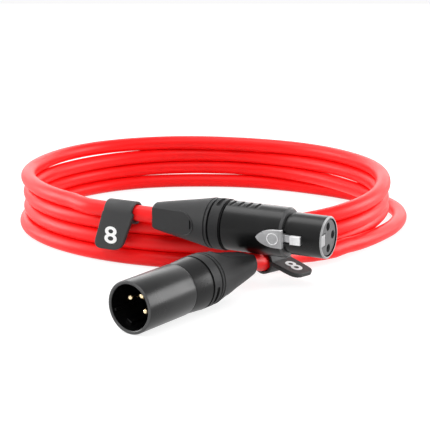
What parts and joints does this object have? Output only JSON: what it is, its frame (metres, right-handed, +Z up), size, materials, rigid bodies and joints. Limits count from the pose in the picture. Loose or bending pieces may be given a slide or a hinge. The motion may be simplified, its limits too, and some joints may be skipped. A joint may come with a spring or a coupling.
{
  "type": "xlr cable coil",
  "caption": "Coiled microphone lead: red cable wound flat, with a latching XLR socket on one end, an XLR plug on the other and a rubber tag behind each.",
  "frame": {"origin": "on the floor, below the middle of the bounding box", "axes": "+Z up, through the coil; +Y from the connectors in front to the back of the coil; +X to the right as seen from the connectors"},
  "size_m": [0.1696, 0.2382, 0.0316],
  "materials": {
    "red_jacket": "satin red jacket",
    "black_metal": "satin black",
    "insert_plastic": "matt dark grey",
    "gold": "gold plated",
    "silver": "satin bare metal",
    "spring_steel": "bare steel",
    "chuck_plastic": "matt black",
    "boot_rubber": "matt dark grey",
    "bare_core": "bare copper",
    "red_core": "red core",
    "white_core": "white core",
    "tag_rubber": "matt black"
  },
  "bodies": {
    "root": {"cable_coil": "red_jacket", "lead_female": "red_jacket", "lead_male": "red_jacket", "female_cable_end": "red_jacket", "male_cable_end": "red_jacket", "female_housing": "black_metal", "male_shell": "black_metal", "female_insert": "insert_plastic", "male_insert": "insert_plastic", "female_contact_1": "gold", "female_contact_2": "gold", "female_contact_3": "gold", "male_pin_1": "gold", "male_pin_2": "gold", "male_pin_3": "gold", "female_latch_pin": "spring_steel", "female_latch_spring": "spring_steel", "male_ground_spring": "spring_steel", "female_chuck": "chuck_plastic", "male_chuck": "chuck_plastic", "female_coding_ring": "boot_rubber", "male_coding_ring": "boot_rubber", "female_boot": "boot_rubber", "male_boot": "boot_rubber", "female_wire_1": "bare_core", "female_wire_2": "red_core", "female_wire_3": "white_core", "male_wire_1": "bare_core", "male_wire_2": "red_core", "male_wire_3": "white_core"},
    "latch": {"female_latch": "silver"},
    "female_tag": {"tag_female": "tag_rubber"},
    "male_tag": {"tag_male": "tag_rubber"}
  },
  "joints": [
    {"name": "latch_press", "type": "hinge", "parent": "root", "child": "latch", "pos_m": [0.01797, -0.06544, 0.02126], "axis": [-0.0287, -0.0539, 0.9981], "range_deg": [0, 4.2], "stiffness_Nm_per_rad": 0.1, "springref_deg": -2.86, "deforming": ["female_latch_spring"]},
    {"name": "female_tag_turn", "type": "hinge", "parent": "root", "child": "female_tag", "pos_m": [-0.03514, -0.02816, 0.02175], "axis": [-0.8829, 0.4695, 0], "range_deg": [0, 110]},
    {"name": "male_tag_turn", "type": "hinge", "parent": "root", "child": "male_tag", "pos_m": [0.0221, -0.0483, 0.0076], "axis": [-0.6079, -0.7903, 0.076], "range_deg": [-10, 26]}
  ]
}
